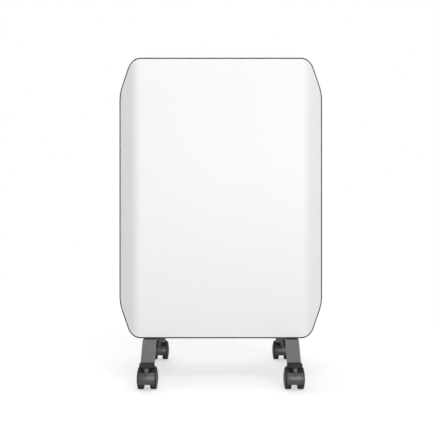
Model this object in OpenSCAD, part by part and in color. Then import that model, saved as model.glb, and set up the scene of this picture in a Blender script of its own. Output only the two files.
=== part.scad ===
// Oil-filled radiator on castors: a stack of pressed steel oil fins between two bent
// sheet covers, a control housing on the right end, and two steel legs on twin-wheel castors.
// Millimetres. X runs across the room-facing cover, -Y is the front, Z is up from the floor.

/* [Covers] */
// Width of a cover sheet
cover_w = 392; // [350:1:440]
// Height of a cover sheet
cover_h = 534; // [480:1:600]
// Floor to the lower edge of the covers
cover_z = 89.5; // [87:0.5:95]
// Front face to rear face
body_d = 152; // [148:1:180]
// Thickness of the cover sheet
sheet_t = 0.8; // [0.6:0.1:1.2]
// Width of the flat face between the bends
face_w = 304; // [280:1:320]
// Outer radius of the side bends
bend_r = 34; // [10:1:40]
// How far each side flange is bent back
bend_angle = 35; // [20:1:40]
// Radius of the corners
corner_r = 26; // [12:1:34]
// Set-back of the slanted corner along the top edge
cut_w = 24.5; // [16:0.5:30]
// Height of the slanted corner
cut_h = 61.5; // [45:0.5:80]
// Radius that blends the slant into the side edge
blend_r = 74; // [30:1:76]

/* [Edge trim] */
// How far the trim shows past the cover's edge
trim_lip = 2.4; // [1:0.1:3]
// Thickness of the trim behind the sheet
trim_t = 1.4; // [1:0.1:2]
// Width of the trim strip behind the cover
trim_w = 5; // [4:0.5:12]

/* [Oil fins] */
// Distance from fin to fin
fin_pitch = 39; // [38:0.25:40]
// Thickness of a fin's two welded sheets
fin_t = 1.2; // [1:0.1:1.6]
// Depth of a fin, front to rear
fin_d = 124; // [118:1:128]
// Height of a fin
fin_h = 500; // [460:1:510]
// Floor to the lower edge of the fins
fin_z = 96; // [95:0.5:100]
// Corner radius of a fin
fin_corner = 20; // [12:1:26]
// Width of an oil channel
channel_w = 22; // [18:1:26]
// Bulge of an oil channel to each side
channel_d = 7; // [5:0.5:8]
// Distance of the oil channels from the fin's middle
channel_y = 20; // [18:0.5:22]
// Wall of the pressed channels and headers
pressed_t = 0.8; // [0.6:0.1:1.2]
// Header axis from the fin's top or bottom edge
header_inset = 36; // [35:1:40]
// Radius of the header dish on the fin
dish_r = 34; // [33:0.5:35]
// Height of the header dish
dish_h = 8; // [7:0.5:9]
// Outer radius of the header collar
collar_r = 22; // [20:0.5:23]
// Wall of the header collar
collar_t = 3.5; // [2:0.5:4]
// Width of the folded front and rear edges
edge_w = 18; // [14:1:20]
// Depth of the lip turned in at a folded edge
edge_lip = 6; // [4:0.5:9]
// Radius of the stiffening beads
bead_r = 2.4; // [1.6:0.1:3]
// Distance of the stiffening beads from the fin's middle
bead_y = 46; // [40:1:50]

/* [Heating element] */
// Radius of the sheathed heater tubes
heater_r = 3.5; // [3:0.25:3.75]
// Radius of the ring on which the tubes stand
heater_ring_r = 11; // [10:0.25:12]
// Reach of the tubes into the header
heater_reach = 232; // [120:1:250]
// Thickness of the element's gasket
gasket_t = 2; // [1.5:0.5:3]
// Thickness of the element's flange
flange_t = 5; // [4:0.5:6]

/* [Control housing] */
// Length of the header stubs that carry the housing
stub_len = 27; // [25:0.5:28]
// Thickness of the steel plate behind the housing
plate_t = 1.5; // [1:0.1:2]
// Width of the housing, front to rear
housing_w = 96; // [88:1:98]
// Height of the housing
housing_h = 484; // [440:1:490]
// Lower end of the housing to the lower header's axis
header_rise = 28; // [27:1:32]
// Depth of the housing from its plate
housing_d = 32; // [31:0.5:34]
// Wall of the housing
housing_wall = 2.4; // [2:0.1:3]
// Corner radius of the housing
housing_corner = 16; // [10:1:24]
// Radius of the housing's outer edges
housing_edge = 6; // [4:0.5:8]
// Thickness of the fascia
fascia_t = 2; // [1.5:0.1:2.5]
// Width of the fascia
fascia_w = 70; // [62:1:76]
// Height of the fascia
fascia_h = 190; // [176:1:210]
// Top of the housing to the top of the fascia
fascia_drop = 22; // [16:1:30]
// Corner radius of the fascia
fascia_corner = 10; // [6:1:14]
// Top of the fascia to the knob's axis
knob_drop = 44; // [40:1:50]
// Radius of the knob's skirt
knob_r = 22; // [18:0.5:25]
// Height of the knob
knob_h = 13; // [10:0.5:14]
// Radius of the thermostat shaft
shaft_r = 3; // [2.5:0.25:4]
// Width of a rocker
rocker_w = 12; // [10:0.5:14]
// Length of a rocker
rocker_l = 21; // [18:0.5:24]
// Tilt of a rocker to each side of level
rocker_tilt = 7; // [5:0.5:9]
// Distance of the rockers from the middle
rocker_y = 13; // [12:0.5:15]
// Knob axis to the rockers' axis
rocker_drop = 88; // [80:1:100]
// Radius of the lamp's lens
lamp_r = 3.5; // [2.5:0.25:5]
// Number of vent slots in the housing
vent_count = 9; // [5:1:12]

/* [Cover brackets] */
// Width of a bracket strap
strap_w = 14; // [10:1:15]
// Thickness of a bracket strap
strap_t = 2; // [1.5:0.1:2.5]
// Height of the tab behind the cover
tab_h = 24; // [20:1:30]
// Radius of the cover's welded studs
stud_r = 2; // [1.5:0.25:2.5]

/* [Legs] */
// Width of a leg bar
leg_w = 26.5; // [22:0.5:30]
// Thickness of a leg bar
leg_t = 5.5; // [4.5:0.25:6]
// Radius of the bar's rounded edges
leg_edge = 2; // [1:0.25:2.2]
// Floor to the top of the bar under the body
leg_top_z = 85.5; // [82:0.5:86]
// Radiator's mid-plane to the start of the slope
slope_y = 78; // [74:1:84]
// Run of the slope, front to rear
slope_run = 32.7; // [26:0.1:36]
// Middle radius of the bar's bends
leg_bend_r = 5; // [4:0.5:7]
// Width of the tongue in the end cap
tongue_w = 18; // [14:0.5:20]
// Thickness of the tongue in the end cap
tongue_t = 2.6; // [2:0.1:3]
// Radius of the U-bolt's rod
bolt_r = 2.5; // [2:0.25:3]
// Length of the welded saddle, front to rear
saddle_l = 64; // [60:1:70]
// Width of the saddle
saddle_w = 13; // [10:0.5:14]

/* [Castors] */
// Radiator's mid-plane to a castor's swivel axis
stem_y = 128; // [124:0.5:134]
// Swivel axis to the wheel axle
trail = 16; // [14:0.5:18]
// Diameter of a castor wheel
wheel_d = 40; // [38:0.5:41]
// Width of a wheel's tread
tread_w = 11; // [8:0.25:12]
// Bulge of a wheel's domed face
dome_h = 2.5; // [2.5:0.25:6]
// Space between the two treads
tread_gap = 12.5; // [9:0.25:13]
// Radius of a tread's rounded edges
tread_edge = 1.6; // [1:0.1:2]
// Radius of the wheel axle
axle_r = 2.5; // [2:0.25:3]
// Gap between tread and fender
fender_gap = 0.8; // [0.5:0.1:1]
// Width of each tread that shows beside the fender
fender_step = 2.4; // [1:0.1:3]
// Thickness of the fender
fender_t = 1.5; // [1.2:0.1:1.6]
// Reach of the hood's tongue ahead of the swivel axis
boss_r = 6.5; // [6:0.25:7]
// Radius of the stem in the hood
stem_r = 3; // [2.5:0.25:3.5]
// Radius of the stem in the leg's end cap
stem_top_r = 4; // [3.75:0.25:5]
// Swivel axis to the nose of the end cap
cap_nose = 8; // [7:0.5:10]
// Gap between hood and end cap
swivel_gap = 0.6; // [0.4:0.1:1]

/* [Fits] */
// Radial clearance of a running fit
run_fit = 0.06; // [0.03:0.01:0.1]
// Clearance of a fixed fit
seat_fit = 0.03; // [0.01:0.01:0.05]

/* [Hidden] */
$fn = 64;
CORNERS = [["front_left", -1, -1], ["front_right", 1, -1],
           ["rear_left", -1, 1], ["rear_right", 1, 1]];
SIDES = [["left", -1], ["right", 1]];
LEVELS = [["upper", 1], ["lower", -1]];
fin_count = 8;

// The castors all trail to the rear, so the body stands ahead of the middle of the whole.
wheel_r = wheel_d / 2;
front_reach = stem_y + cap_nose;
rear_reach = stem_y + trail + wheel_r;
body_y = (front_reach - rear_reach) / 2;

// Covers
slant = atan(cut_w / cut_h);
half_w = cover_w / 2;
half_h = cover_h / 2;
cover_mid_z = cover_z + half_h;
corner_at = [half_w - cut_w - corner_r * tan((90 - slant) / 2), half_h - corner_r];
blend_at = [half_w - blend_r, half_h - cut_h - blend_r * tan(slant / 2)];
flange_l = (half_w - face_w / 2) / cos(bend_angle) + trim_w;
cover_back = body_d / 2 - sheet_t;
seam = 0.2;

// Fins and headers: each leg stands in the middle of a gap beside an end fin.
leg_x = fin_pitch * (fin_count - 1) / 2;
first_fin_x = -leg_x - fin_pitch / 2;
last_fin_x = first_fin_x + fin_pitch * (fin_count - 1);
header_low = fin_z + header_inset;
header_top = fin_z + fin_h - header_inset;
bore_r = collar_r - collar_t;
end_collar = dish_h + 4;
end_wall = 2;
plug_x = first_fin_x - end_collar;
plug_r = 5;

// Control end
plate_x = last_fin_x + stub_len;
housing_x = plate_x + plate_t;
housing_face = housing_x + housing_d;
housing_z = header_low - header_rise;
fascia_face = housing_face + fascia_t;
fascia_z = housing_z + housing_h - fascia_drop - fascia_h;
knob_z = fascia_z + fascia_h - knob_drop;
rocker_z = knob_z - rocker_drop;
lamp_z = (knob_z - knob_r + rocker_z + rocker_l / 2) / 2;
knob_gap = 0.5;
// The dial's mark points down to the front at its off stop, and turns 270 degrees from there.
dial_rest = -45;
bush_r = shaft_r + 2;
bush_tip = fascia_face + 3;
shaft_tip = fascia_face + knob_gap + knob_h - 3;
thermostat_d = 15;
thermostat_w = 34;
rocker_gap = 0.6;
rocker_pin_r = 1.2;
rocker_rise = 3.4;
switch_rim = 2;
switch_well = 9;
switch_wall = 1.2;
switch_tail = 5;
rocker_pivot_x = fascia_face - 3;
gland_bore_r = 3.6;
gland_r = 9;
gland_neck_r = 6;
screw_r = 3.2;
screw_hole_r = 1.6;
screw_inset = 12;
screw_l = 8;
screw_head_h = 1.6;
vent_pitch = 7;
vent_h = 3;
vent_rise = 40;
vent_drop = 12;
cutout_drop = 84;
terminal_rise = 60;

// Brackets stand in the fin gaps on each side of the middle.
bracket_x = fin_pitch * 2.5;
saddle_r = collar_r + seat_fit;
stud_l = 9;
nut_r = 4;
nut_t = 3.2;

// Legs
hood_top = wheel_d + fender_gap + fender_t + 0.2;
cap_z = hood_top + swivel_gap;
cap_h = leg_t + 0.5;
bar_z = leg_top_z - leg_t / 2;
end_z = cap_z + cap_h / 2;
slope_a = atan((bar_z - end_z) / slope_run);
bend_cut = leg_bend_r * tan(slope_a / 2);
bar_end_y = slope_y + slope_run + bend_cut;
bolt_ring_r = saddle_r + bolt_r;
bolt_end_z = leg_top_z - leg_t - 15;
wing_h = 8;

// Castors
web_t = tread_gap - 1;
fender_r = wheel_r + fender_gap;
tread_in = tread_gap / 2;
tread_out = tread_in + tread_w;
hub_in = web_t / 2 + 0.3;
axle_l = 2 * (tread_out - 2);
groove_w = 0.8;
stem_low = wheel_r + 4;
tube_r = stem_r + run_fit + 1.1;
tongue_low = hood_top - 15;
tongue_tip = 0.8;
tongue_top = 5.4;
front_band = [143, 200];
top_band = [32, 105];

function fin_x(i) = first_fin_x + fin_pitch * i;

// Shared shapes

module at_body() translate([0, body_y, 0]) children();

// Turns a flat shape into the plane across X: its x becomes Y and its y becomes Z.
module across(x) translate([x, 0, 0]) rotate([90, 0, 90]) children();

module along_x(x, y, z) translate([x, y, z]) rotate([0, 90, 0]) children();

// Pie slice of a disc between two angles less than 90 degrees apart or so.
module slice(r, from, to) intersection() {
    circle(r);
    polygon([[0, 0], for (a = [from, (from + to) / 2, to]) 2 * r * [cos(a), sin(a)]]);
}

module ring_slice(r_in, r_out, from, to) difference() {
    slice(r_out, from, to);
    circle(r_in);
}

module rounded(w, h, r) {
    square([w - 2 * r, h], center = true);
    square([w, h - 2 * r], center = true);
    for (x = [-1, 1], y = [-1, 1]) translate([x * (w / 2 - r), y * (h / 2 - r)]) circle(r);
}

// Covers and their trim

function arc(centre, r, from, to, steps) =
    [for (i = [0:steps]) let (a = from + (to - from) * i / steps) centre + r * [cos(a), sin(a)]];

// Upper right quarter of the cover's front outline, grown outwards by g.
function outline_quarter(g) = concat(arc(corner_at, corner_r + g, 90, slant, 10),
                                     arc(blend_at, blend_r + g, slant, 0, 5));

module outline(g) {
    q = outline_quarter(g);
    last = len(q) - 1;
    polygon(concat(q, [for (i = [last:-1:0]) [q[i].x, -q[i].y]], [for (p = q) -p],
                   [for (i = [last:-1:0]) [-q[i].x, q[i].y]]));
}

module outline_block(g) translate([0, 0, cover_mid_z]) rotate([90, 0, 0])
    linear_extrude(body_d / 2) outline(g);

// Sheet with a bent flange on each side that starts k behind the cover's outer face.
module bent_sheet(k, t) translate([0, 0, cover_z - trim_w]) {
    h = cover_h + 2 * trim_w;
    translate([-face_w / 2, k - body_d / 2, 0]) cube([face_w, t, h]);
    for (m = [0, 1]) mirror([m, 0, 0]) translate([face_w / 2, bend_r - body_d / 2, 0]) {
        linear_extrude(h) ring_slice(bend_r - k - t, bend_r - k, -90, bend_angle - 90);
        rotate(bend_angle) translate([-seam, k - bend_r, 0]) cube([flange_l + seam, t, h]);
    }
}

module cover() {
    intersection() {
        bent_sheet(0, sheet_t);
        outline_block(0);
    }
    for (x = [-1, 1], l = LEVELS)
        translate([x * bracket_x, -cover_back - sheet_t / 2, stud_z(l[1])]) rotate([-90, 0, 0])
            cylinder(r = stud_r, h = stud_l + sheet_t / 2);
}

module edge_trim() difference() {
    intersection() {
        bent_sheet(sheet_t, trim_t);
        outline_block(trim_lip);
    }
    translate([0, -1, 0]) outline_block(-trim_w);
}

module front_cover() color("white") at_body() cover();
module rear_cover() color("white") at_body() mirror([0, 1, 0]) cover();
module front_edge_trim() color([0.16, 0.16, 0.17]) at_body() edge_trim();
module rear_edge_trim() color([0.16, 0.16, 0.17]) at_body() mirror([0, 1, 0]) edge_trim();

// Oil fins

// Cross-section of an oil channel: two arcs that meet at the fin's mid-plane.
module lens(w, d) {
    r = (w * w / 4 + d * d) / (2 * d);
    intersection_for (s = [-1, 1]) translate([s * (r - d), 0]) circle(r);
}

module fin_channels(w, d) for (y = [-1, 1]) translate([0, y * channel_y, header_low])
    linear_extrude(header_top - header_low) lens(w, d);

// Header dishes on both sides of a fin, thinned by t all round.
module fin_dishes(t) for (z = [header_low, header_top], m = [0, 1]) mirror([m, 0, 0])
    along_x(0, 0, z) cylinder(r1 = dish_r - 2 * t, r2 = dish_r - 10 - t, h = dish_h - t);

module folded_edge() {
    translate([-edge_w / 2, fin_d / 2 - fin_t]) square([edge_w, fin_t]);
    for (m = [0, 1]) mirror([m, 0])
        translate([edge_w / 2 - fin_t, fin_d / 2 - edge_lip]) square([fin_t, edge_lip]);
}

module fin_sheet() {
    translate([0, 0, fin_z + fin_h / 2]) across(-fin_t / 2)
        linear_extrude(fin_t) rounded(fin_d, fin_h, fin_corner);
    for (m = [0, 1]) mirror([0, m, 0]) translate([0, 0, fin_z + fin_corner])
        linear_extrude(fin_h - 2 * fin_corner) folded_edge();
    for (y = [-1, 1]) {
        translate([0, y * bead_y, header_low]) cylinder(r = bead_r, h = header_top - header_low);
        for (z = [header_low, header_top]) translate([0, y * bead_y, z]) sphere(bead_r);
    }
}

module oil_fin(i) {
    first = i == 0;
    last = i == fin_count - 1;
    left = first ? end_collar : fin_pitch / 2;
    right = last ? stub_len : fin_pitch / 2;
    translate([fin_x(i), 0, 0]) difference() {
        union() {
            fin_sheet();
            fin_channels(channel_w, channel_d);
            fin_dishes(0);
            for (z = [header_low, header_top]) along_x(-left, 0, z)
                cylinder(r = collar_r, h = left + right);
        }
        fin_channels(channel_w - 3 * pressed_t, channel_d - pressed_t);
        fin_dishes(pressed_t);
        for (z = [header_low, header_top]) {
            closed = last && z == header_top;
            from = first ? end_wall - left : -left - 1;
            to = closed ? right - end_wall : right + 1;
            along_x(from, 0, z) cylinder(r = bore_r, h = to - from);
        }
        if (first) along_x(-left - 1, 0, header_top) cylinder(r = plug_r, h = end_wall + 2);
    }
}

module fin_node(i) color("white") at_body() oil_fin(i);

module oil_fill_plug() color([0.75, 0.75, 0.76]) at_body() {
    along_x(plug_x, 0, header_top) cylinder(r = plug_r - seat_fit, h = end_wall + 3);
    along_x(plug_x - 6, 0, header_top) cylinder(r = 8, h = 6, $fn = 6);
}

// Heating element in the lower header

module heating_element() color([0.72, 0.72, 0.74]) at_body() {
    flange_x = housing_x + gasket_t;
    hairpin_r = heater_ring_r / 2;
    tube_l = flange_x + 1 - (plate_x - heater_reach);
    along_x(flange_x, 0, header_low) cylinder(r = collar_r + 2, h = flange_t);
    along_x(flange_x + flange_t, 0, header_low) cylinder(r = 17, h = 6, $fn = 6);
    for (a = [0, 120, 240]) translate([flange_x + 1, 0, header_low]) rotate([a, 0, 0]) {
        for (b = [0, 60]) rotate([b, 0, 0]) translate([0, heater_ring_r, 0]) {
            along_x(-tube_l, 0, 0) cylinder(r = heater_r, h = tube_l);
            along_x(-tube_l - 1, 0, 0) cylinder(r = heater_r + 0.4, h = 4);
        }
        rotate([30, 0, 0]) translate([-tube_l, heater_ring_r * cos(30), 0]) rotate([0, 0, 90])
            rotate([90, 0, 90]) rotate_extrude(angle = 180) translate([hairpin_r, 0])
                circle(heater_r);
    }
    for (a = [0, 120, 240]) translate([flange_x + flange_t + 5, 0, header_low]) rotate([a, 0, 0])
        translate([0, 10, 0]) rotate([0, 90, 0]) cylinder(r = 2, h = 11);
}

module element_gasket() color([0.2, 0.2, 0.2]) at_body()
    along_x(housing_x, 0, header_low) difference() {
        cylinder(r = collar_r + 2, h = gasket_t);
        translate([0, 0, -1]) cylinder(r = bore_r, h = gasket_t + 2);
    }

// Control housing and what it holds

module end_face(z, h) translate([0, 0, z + h / 2]) rotate([90, 0, 90]) children();

module control_backplate() color([0.75, 0.75, 0.76]) at_body() difference() {
    translate([plate_x, 0, 0]) end_face(housing_z, housing_h)
        linear_extrude(plate_t) rounded(housing_w, housing_h, housing_corner);
    along_x(plate_x - 1, 0, header_low) cylinder(r = bore_r, h = plate_t + 2);
}

// Box with rounded corners and outer edges, shrunk by g all round and reaching past its back.
module housing_block(g, back) {
    w = housing_w - 2 * g;
    h = housing_h - 2 * g;
    d = housing_d - g + back;
    e = housing_edge - g;
    translate([housing_x - back, 0, 0]) intersection() {
        end_face(housing_z + g, h) linear_extrude(d) rounded(w, h, housing_corner - g);
        translate([0, 0, housing_z]) linear_extrude(housing_h) edge_plan(w, d, e);
        translate([0, 0, housing_z + housing_h / 2]) rotate([90, 0, 0])
            linear_extrude(housing_w, center = true) edge_plan(h, d, e);
    }
}

// Rectangle d deep and w wide with its two outer corners rounded.
module edge_plan(w, d, e) {
    translate([0, -w / 2]) square([d - e, w]);
    translate([0, e - w / 2]) square([d, w - 2 * e]);
    for (y = [-1, 1]) translate([d - e, y * (w / 2 - e)]) circle(e);
}

module switch_hole(x, h, grow) for (y = [-1, 1])
    translate([x, y * rocker_y - rocker_w / 2 - grow, rocker_z - rocker_l / 2 - grow])
        cube([h, rocker_w + 2 * grow, rocker_l + 2 * grow]);

module control_holes(x, h) {
    along_x(x, 0, knob_z) cylinder(r = bush_r + seat_fit, h = h);
    along_x(x, 0, lamp_z) cylinder(r = lamp_r, h = h);
    switch_hole(x, h, rocker_gap + switch_wall + seat_fit);
}

module control_housing() color([0.17, 0.17, 0.18]) at_body() difference() {
    housing_block(0, 0);
    housing_block(housing_wall, 1);
    control_holes(housing_face - housing_wall - 1, housing_wall + 2);
    for (i = [0:vent_count - 1]) {
        vent_slot(header_low + vent_rise + vent_pitch * i);
        vent_slot(fascia_z - vent_drop - vent_pitch * i);
    }
    translate([housing_x + housing_d / 2, 0, housing_z - 1])
        cylinder(r = gland_neck_r + seat_fit, h = housing_wall + 2);
    for (y = [-1, 1], z = screw_levels()) along_x(housing_face - housing_wall - 1, y * screw_y(), z)
        cylinder(r = screw_hole_r, h = housing_wall + 2);
}

function screw_y() = housing_w / 2 - screw_inset;
function screw_levels() = [housing_z + screw_inset, housing_z + housing_h - screw_inset];

module vent_slot(z) {
    half = housing_w / 4;
    translate([housing_face - housing_wall - 1, -half, z - vent_h / 2])
        cube([housing_wall + 2, 2 * half, vent_h]);
    for (y = [-1, 1]) along_x(housing_face - housing_wall - 1, y * half, z)
        cylinder(r = vent_h / 2, h = housing_wall + 2);
}

module control_fascia() color([0.05, 0.05, 0.06]) at_body() difference() {
    translate([housing_face, 0, 0]) end_face(fascia_z, fascia_h)
        linear_extrude(fascia_t) rounded(fascia_w, fascia_h, fascia_corner);
    control_holes(housing_face - 1, fascia_t + 2);
}

module housing_screws() color([0.6, 0.6, 0.62]) at_body()
    for (y = [-1, 1], z = screw_levels()) {
        along_x(housing_face, y * screw_y(), z) cylinder(r = screw_r, h = screw_head_h);
        along_x(housing_face - screw_l, y * screw_y(), z)
            cylinder(r = screw_hole_r - seat_fit, h = screw_l + screw_head_h / 2);
    }

module thermostat() color([0.85, 0.83, 0.78]) at_body() difference() {
    union() {
        translate([housing_face - housing_wall - thermostat_d, -thermostat_w / 2,
                   knob_z - thermostat_w / 2])
            cube([thermostat_d, thermostat_w, thermostat_w]);
        along_x(housing_face - housing_wall - 1, 0, knob_z)
            cylinder(r = bush_r, h = bush_tip - housing_face + housing_wall + 1);
    }
    along_x(housing_face - housing_wall - thermostat_d + 4, 0, knob_z)
        cylinder(r = shaft_r + run_fit, h = thermostat_d + 30);
}

module thermostat_shaft() color([0.7, 0.7, 0.72]) at_body()
    along_x(housing_face - housing_wall - thermostat_d + 4.4, 0, knob_z) cylinder(r = shaft_r,
        h = shaft_tip - housing_face + housing_wall + thermostat_d - 4.4);

module thermostat_knob() color([0.2, 0.2, 0.21]) at_body()
    translate([fascia_face + knob_gap, 0, knob_z]) rotate([0, 90, 0]) rotate(dial_rest) difference() {
        union() {
            cylinder(r = knob_r, h = 2.5);
            cylinder(r1 = knob_r - 3, r2 = knob_r - 5, h = knob_h);
        }
        for (a = [10:20:350]) rotate(a) translate([knob_r - 3.6, 0, 3])
            cylinder(r = 2.2, h = knob_h);
        translate([0, 0, -1]) cylinder(r = bush_r + 1, h = 5);
        translate([0, 0, -1]) cylinder(r = shaft_r + seat_fit,
            h = shaft_tip - fascia_face - knob_gap + 1.2);
        translate([knob_r - 12, -0.8, knob_h - 0.8]) cube([12, 1.6, 2]);
    }

// Both switch bodies: a well behind the fascia with a rim in front of it.
module switch_body() color([0.1, 0.1, 0.11]) at_body() difference() {
    union() {
        switch_hole(fascia_face - switch_well - switch_tail, switch_well + switch_tail,
            rocker_gap + switch_wall);
        switch_hole(fascia_face, 1, rocker_gap + switch_rim);
    }
    switch_hole(fascia_face - switch_well, switch_well + 2, rocker_gap);
    for (y = [-1, 1]) translate([rocker_pivot_x, y * rocker_y, rocker_z]) rotate([90, 0, 0])
        cylinder(r = rocker_pin_r + run_fit, h = rocker_w + 2 * rocker_gap + 1.6, center = true);
}

// Rocker with its two pivot pins, tilted to its off position.
module rocker(side) color([0.12, 0.12, 0.13]) at_body()
    translate([rocker_pivot_x, side * rocker_y, rocker_z]) rotate([0, rocker_tilt, 0])
        rotate([90, 0, 0]) {
            linear_extrude(rocker_w, center = true) rocker_profile();
            cylinder(r = rocker_pin_r, h = rocker_w + 2 * rocker_gap + 1.2, center = true);
        }

// Side view of a rocker: two faces that meet over the pivot.
module rocker_profile() {
    tip = rocker_l / 2 - 0.9;
    rise = tan(rocker_tilt) * tip;
    polygon([[-2.4, 0], [-1, -tip], [rocker_rise + rise, -tip], [rocker_rise, 0],
             [rocker_rise + rise, tip], [-1, tip]]);
}

module pilot_lamp() color([0.85, 0.25, 0.12]) at_body() {
    along_x(housing_face - housing_wall - 6, 0, lamp_z)
        cylinder(r = lamp_r - seat_fit, h = fascia_face - housing_face + housing_wall + 6);
    along_x(fascia_face, 0, lamp_z) cylinder(r1 = lamp_r + 0.8, r2 = lamp_r - 1, h = 1.6);
    along_x(housing_face - housing_wall - 5, 0, lamp_z) cylinder(r = lamp_r + 1, h = 5);
}

module thermal_cutout() color([0.3, 0.3, 0.32]) at_body() translate([0, 0, fascia_z - cutout_drop]) {
    along_x(housing_x, 0, 0) cylinder(r = 8, h = 6);
    along_x(housing_x + 6, 0, 0) cylinder(r = 6, h = 7);
    for (y = [-1, 1]) translate([housing_x + 13, y * 3.5 - 0.4, -3]) cube([8, 0.8, 6]);
    translate([housing_x, -16, -4]) cube([1, 32, 8]);
}

module terminal_block() color([0.9, 0.9, 0.86]) at_body()
    translate([housing_x, 0, header_low + terminal_rise]) difference() {
        translate([0, -19, -8]) cube([14, 38, 16]);
        for (y = [-12, 0, 12]) {
            along_x(8, y, 0) cylinder(r = 2.4, h = 7);
            translate([5, y, -9]) cylinder(r = 1.8, h = 18);
        }
    }

module cord_gland() color([0.1, 0.1, 0.11]) at_body()
    translate([housing_x + housing_d / 2, 0, housing_z]) difference() {
        union() {
            translate([0, 0, -1]) cylinder(r = gland_neck_r, h = housing_wall + 5);
            translate([0, 0, housing_wall]) cylinder(r = gland_r, h = 2.5);
            translate([0, 0, -3]) cylinder(r = gland_r, h = 3);
            translate([0, 0, -6]) cylinder(r1 = gland_r - 2.5, r2 = gland_r, h = 3);
        }
        translate([0, 0, -8]) cylinder(r = gland_bore_r, h = 20);
    }

// Cover brackets: a strap over each header with a tab behind each cover

function header_z(level) = level > 0 ? header_top : header_low;
function stud_z(level) = header_z(level) + level * tab_h * 0.6;

module bracket_profile() {
    intersection() {
        difference() {
            circle(saddle_r + strap_t);
            circle(saddle_r);
        }
        translate([-dish_r, 0]) square([2 * dish_r, dish_r]);
    }
    for (m = [0, 1]) mirror([m, 0]) {
        translate([saddle_r, 0]) square([cover_back - saddle_r, strap_t]);
        translate([cover_back - strap_t, 0]) square([strap_t, tab_h]);
    }
}

module cover_bracket(side, level) color([0.75, 0.75, 0.76]) at_body() difference() {
    translate([0, 0, header_z(level)]) mirror([0, 0, level < 0 ? 1 : 0])
        across(side * bracket_x - strap_w / 2) linear_extrude(strap_w) bracket_profile();
    translate([side * bracket_x, 0, stud_z(level)]) rotate([90, 0, 0])
        cylinder(r = stud_r + 0.2, h = body_d, center = true);
}

module cover_nuts() color([0.6, 0.6, 0.62]) at_body()
    for (x = [-1, 1], m = [0, 1], l = LEVELS) mirror([0, m, 0])
        translate([x * bracket_x, strap_t - cover_back, stud_z(l[1])]) rotate([-90, 0, 0])
            difference() {
                cylinder(r = nut_r, h = nut_t, $fn = 6);
                translate([0, 0, -1]) cylinder(r = stud_r + seat_fit, h = nut_t + 2);
            }

// Legs

// Points round the bar's section: across the bar, then through its thickness.
bar_ring = [for (c = [[1, 1, 0], [-1, 1, 90], [-1, -1, 180], [1, -1, 270]], a = [0:30:90])
    [c[0] * (leg_w / 2 - leg_edge) + leg_edge * cos(c[2] + a),
     c[1] * (leg_t / 2 - leg_edge) + leg_edge * sin(c[2] + a)]];

// Middle line of the bar's rear half from the mid-plane outwards: Y, Z and downward angle.
bend_steps = 5;
bar_half = concat(
    [for (i = [0:bend_steps]) let (a = slope_a * i / bend_steps)
        [slope_y - bend_cut + leg_bend_r * sin(a), bar_z - leg_bend_r * (1 - cos(a)), a]],
    [for (i = [bend_steps:-1:0]) let (a = slope_a * i / bend_steps)
        [bar_end_y - leg_bend_r * sin(a), end_z + leg_bend_r * (1 - cos(a)), a]]);
bar_line = concat([for (i = [len(bar_half) - 1:-1:0]) let (s = bar_half[i]) [-s[0], s[1], -s[2]]],
                  bar_half);

// The bar is its section swept along its middle line.
module bar() {
    n = len(bar_ring);
    rings = len(bar_line);
    polyhedron([for (s = bar_line, p = bar_ring)
                   [p.x, s[0] + p.y * sin(s[2]), s[1] + p.y * cos(s[2])]],
        concat([[for (j = [n - 1:-1:0]) j], [for (j = [0:n - 1]) (rings - 1) * n + j]],
            [for (i = [0:rings - 2], j = [0:n - 1]) let (k = (j + 1) % n)
                [i * n + j, i * n + k, (i + 1) * n + k, (i + 1) * n + j]]));
}

module bolt_holes() for (y = [-1, 1])
    translate([0, y * bolt_ring_r, bolt_end_z]) cylinder(r = bolt_r + 0.2, h = header_low - bolt_end_z);

module leg(side) color([0.45, 0.45, 0.46]) at_body() translate([side * leg_x, 0, 0]) difference() {
    union() {
        bar();
        for (m = [0, 1]) mirror([0, m, 0])
            translate([-tongue_w / 2, bar_end_y - 1, end_z - tongue_t / 2])
                cube([tongue_w, stem_y + stem_top_r + 1 - bar_end_y, tongue_t]);
        translate([-saddle_w / 2, -saddle_l / 2, leg_top_z - 1])
            cube([saddle_w, saddle_l, header_low - collar_r + 8 - leg_top_z]);
    }
    along_x(-leg_w, 0, header_low) cylinder(r = saddle_r, h = 2 * leg_w);
    bolt_holes();
    for (m = [0, 1]) mirror([0, m, 0]) translate([0, stem_y, end_z - leg_t])
        cylinder(r = stem_top_r + seat_fit, h = 2 * leg_t);
}

module leg_cap(side, end) {
    nose = bar_end_y - stem_y;
    l = cap_nose - nose;
    cap_w = leg_w + 0.4;
    color([0.15, 0.15, 0.16]) at_body() translate([side * leg_x, end * stem_y, 0])
        mirror([0, end < 0 ? 1 : 0, 0]) difference() {
            intersection() {
                translate([0, 0, cap_z]) linear_extrude(cap_h) union() {
                    translate([-cap_w / 2, nose]) square([cap_w, l - 7]);
                    translate([7 - cap_w / 2, nose]) square([cap_w - 14, l]);
                    for (x = [-1, 1]) translate([x * (cap_w / 2 - 7), cap_nose - 7]) circle(7);
                }
                translate([0, 0, cap_z]) across(-cap_w) linear_extrude(2 * cap_w) union() {
                    translate([nose, 0]) square([l - 2.6, cap_h]);
                    translate([nose, 2.6]) square([l, cap_h - 5.2]);
                    for (z = [2.6, cap_h - 2.6]) translate([cap_nose - 2.6, z]) circle(2.6);
                }
            }
            translate([-tongue_w / 2 - seat_fit, nose - 1, end_z - tongue_t / 2 - seat_fit])
                cube([tongue_w + 2 * seat_fit, stem_top_r + 1.2 - nose + 1, tongue_t + 2 * seat_fit]);
            translate([0, 0, cap_z - 1]) cylinder(r = stem_top_r + seat_fit, h = cap_h);
        }
}

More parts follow.
